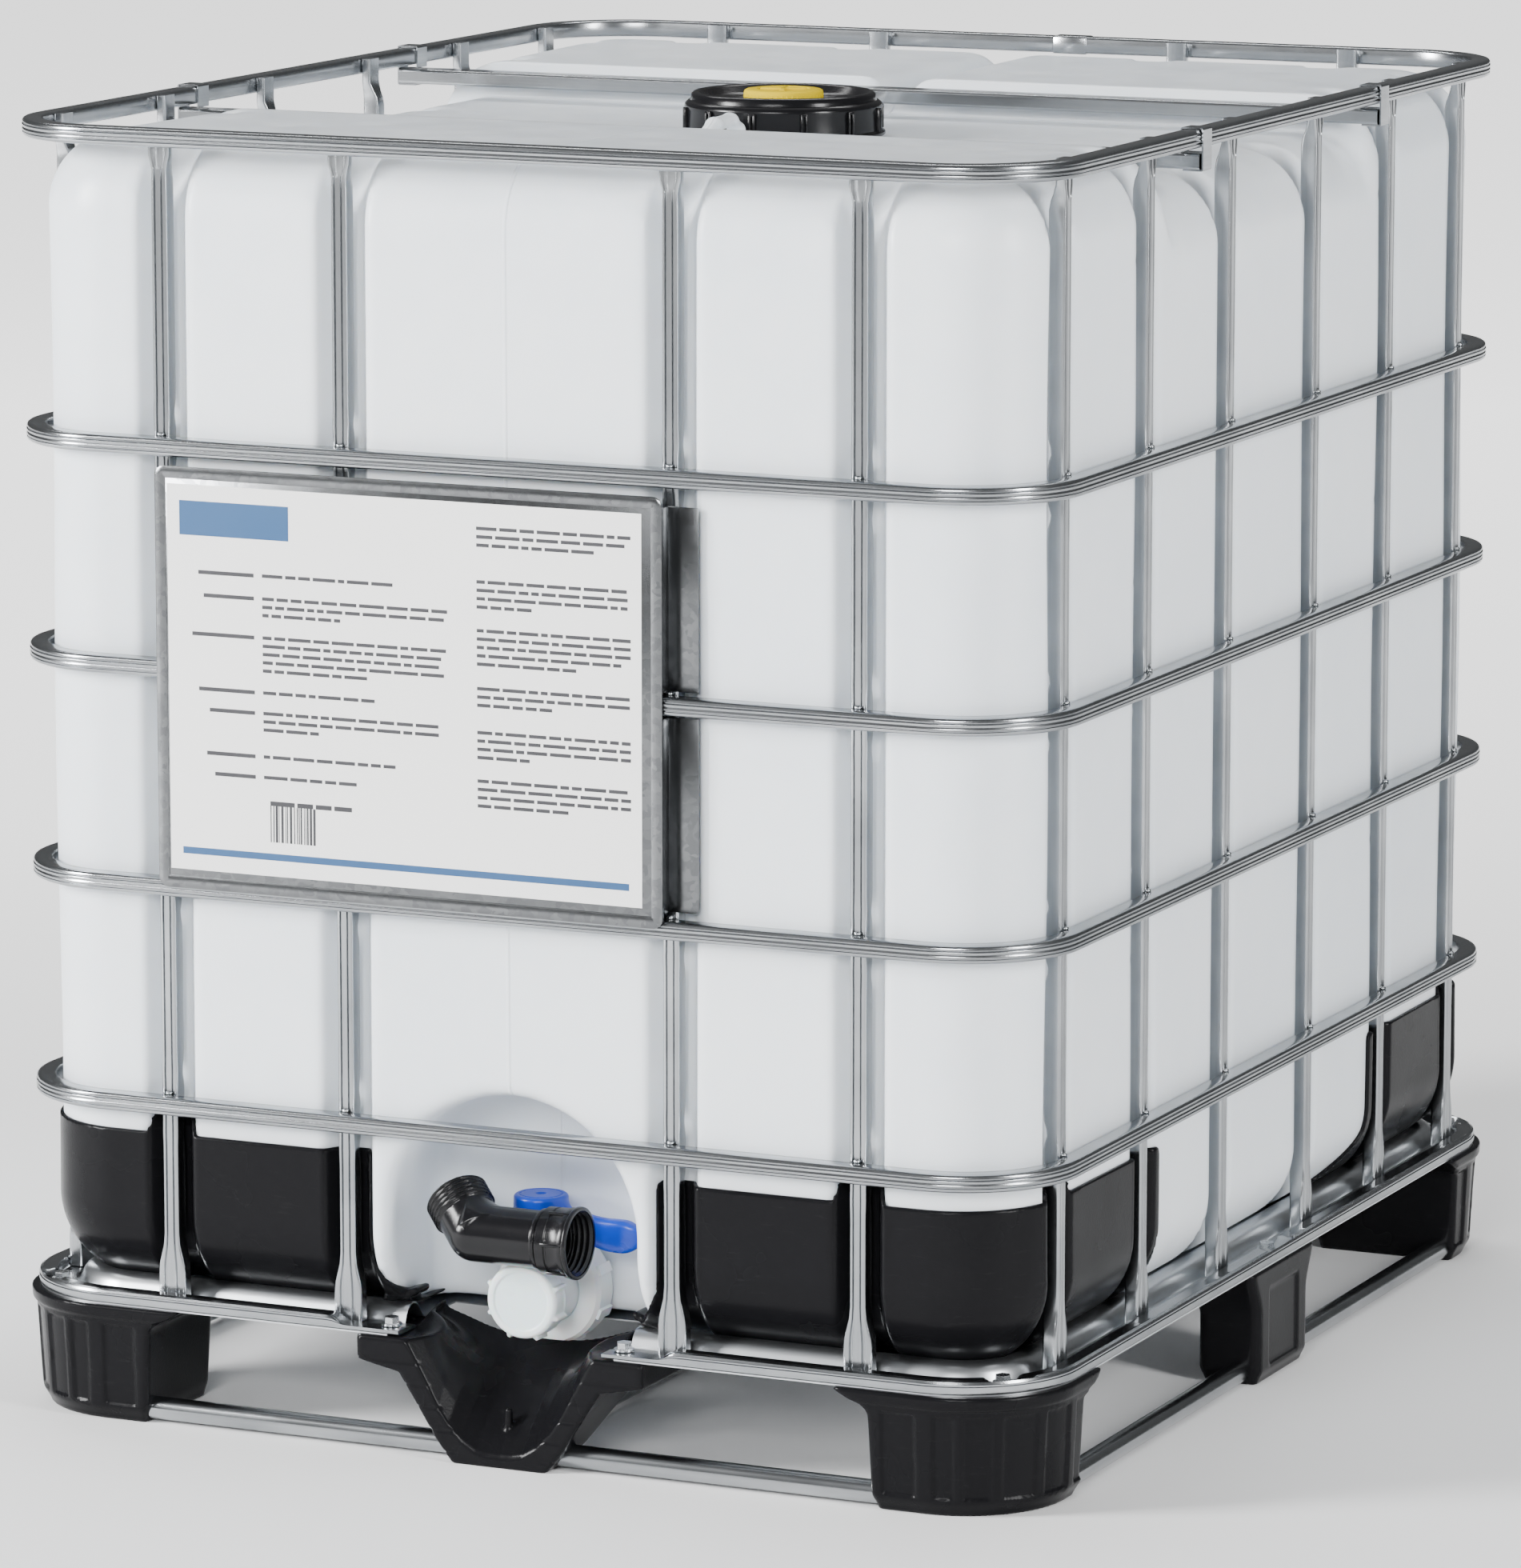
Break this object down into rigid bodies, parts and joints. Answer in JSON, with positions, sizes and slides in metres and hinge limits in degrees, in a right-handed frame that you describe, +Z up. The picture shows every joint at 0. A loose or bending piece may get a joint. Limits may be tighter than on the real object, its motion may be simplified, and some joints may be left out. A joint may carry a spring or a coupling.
{
  "type": "intermediate bulk container",
  "caption": "Caged bulk liquid container: blow-moulded bottle in a welded tube cage on a steel and plastic pallet, with screw lid, bung, lever valve and stored spout.",
  "frame": {"origin": "middle of the footprint, on the floor", "axes": "+Z up, -Y the discharge valve's side (a 1.0 m wide end), +X the right-hand side seen from the valve; +Y is the 1.2 m length"},
  "size_m": [1, 1.2, 1.15],
  "materials": {
    "black_polyethylene": "semi-gloss moulded recycled polyethylene",
    "galvanised_tube": "bright galvanised tube",
    "galvanised_sheet": "galvanised sheet with spangle",
    "zinc_bolt": "zinc plated",
    "natural_polyethylene": "translucent natural blow-moulded polyethylene",
    "black_cap": "glossy black moulding",
    "seal_rubber": "moulded seal",
    "yellow_plastic": "yellow moulding",
    "white_plastic": "white moulding",
    "valve_stem_plastic": "glass filled moulding",
    "blue_plastic": "blue moulding"
  },
  "bodies": {
    "container": {"foot_front_left": "black_polyethylene", "foot_front_right": "black_polyethylene", "foot_rear_left": "black_polyethylene", "foot_rear_right": "black_polyethylene", "foot_left": "black_polyethylene", "foot_right": "black_polyethylene", "foot_rear": "black_polyethylene", "foot_centre": "black_polyethylene", "foot_front_well": "black_polyethylene", "pallet_pan": "galvanised_sheet", "skid_frame": "galvanised_tube", "pallet_bolts": "zinc_bolt", "base_ring": "galvanised_tube", "cage_ring_1": "galvanised_tube", "cage_ring_2": "galvanised_tube", "cage_ring_3": "galvanised_tube", "cage_ring_4": "galvanised_tube", "cage_ring_5": "galvanised_tube", "upright_front_1": "galvanised_tube", "upright_front_2": "galvanised_tube", "upright_front_3": "galvanised_tube", "upright_front_4": "galvanised_tube", "upright_rear_1": "galvanised_tube", "upright_rear_2": "galvanised_tube", "upright_rear_3": "galvanised_tube", "upright_rear_4": "galvanised_tube", "upright_left_1": "galvanised_tube", "upright_left_2": "galvanised_tube", "upright_left_3": "galvanised_tube", "upright_left_4": "galvanised_tube", "upright_left_5": "galvanised_tube", "upright_left_6": "galvanised_tube", "upright_right_1": "galvanised_tube", "upright_right_2": "galvanised_tube", "upright_right_3": "galvanised_tube", "upright_right_4": "galvanised_tube", "upright_right_5": "galvanised_tube", "upright_right_6": "galvanised_tube", "crossbar_front": "galvanised_tube", "crossbar_rear": "galvanised_tube", "crossbar_straps": "galvanised_tube", "label_plate": "galvanised_sheet", "bottle": "natural_polyethylene", "bumper_front_left": "black_polyethylene", "bumper_front_right": "black_polyethylene", "bumper_rear_left": "black_polyethylene", "bumper_rear_right": "black_polyethylene", "valve_body": "white_plastic", "valve_nut": "white_plastic"},
    "lid_seal": {"lid_gasket": "seal_rubber"},
    "lid": {"lid": "black_cap"},
    "bung_seal": {"bung_seal": "seal_rubber"},
    "bung": {"bung": "yellow_plastic"},
    "valve_lever": {"valve_lever": "blue_plastic", "valve_stem": "valve_stem_plastic", "valve_disc": "white_plastic"},
    "outlet_seal": {"outlet_seal": "seal_rubber"},
    "outlet_cap": {"outlet_cap": "white_plastic"},
    "spout": {"spout_elbow": "black_cap"},
    "spout_nut": {"spout_nut": "black_cap"}
  },
  "joints": [
    {"name": "lid_lift", "type": "slide", "parent": "container", "child": "lid_seal", "axis": [0, 0, 1], "range_m": [0, 0.3]},
    {"name": "lid_turn", "type": "hinge", "parent": "lid_seal", "child": "lid", "pos_m": [0, 0, 1.12], "axis": [0, 0, 1], "continuous": true},
    {"name": "bung_lift", "type": "slide", "parent": "lid", "child": "bung_seal", "axis": [0, 0, 1], "range_m": [0, 0.12]},
    {"name": "bung_turn", "type": "hinge", "parent": "bung_seal", "child": "bung", "pos_m": [0, 0, 1.14], "axis": [0, 0, 1], "continuous": true},
    {"name": "valve_turn", "type": "hinge", "parent": "container", "child": "valve_lever", "pos_m": [0, -0.512, 0.138], "axis": [0, 0, -1], "range_deg": [0, 90]},
    {"name": "cap_off", "type": "slide", "parent": "container", "child": "outlet_seal", "axis": [0, -1, 0], "range_m": [0, 0.15]},
    {"name": "cap_turn", "type": "hinge", "parent": "outlet_seal", "child": "outlet_cap", "pos_m": [0, -0.545, 0.138], "axis": [0, -1, 0], "continuous": true},
    {"name": "spout_off", "type": "slide", "parent": "container", "child": "spout", "axis": [0, -1, 0], "range_m": [0, 0.16]},
    {"name": "spout_nut_turn", "type": "hinge", "parent": "spout", "child": "spout_nut", "pos_m": [0.05, -0.567, 0.199], "axis": [1, 0, 0], "continuous": true}
  ],
  "couplings": [
    {"joint": "spout_off", "follows": "valve_turn", "m_per_rad": 0.0975}
  ]
}
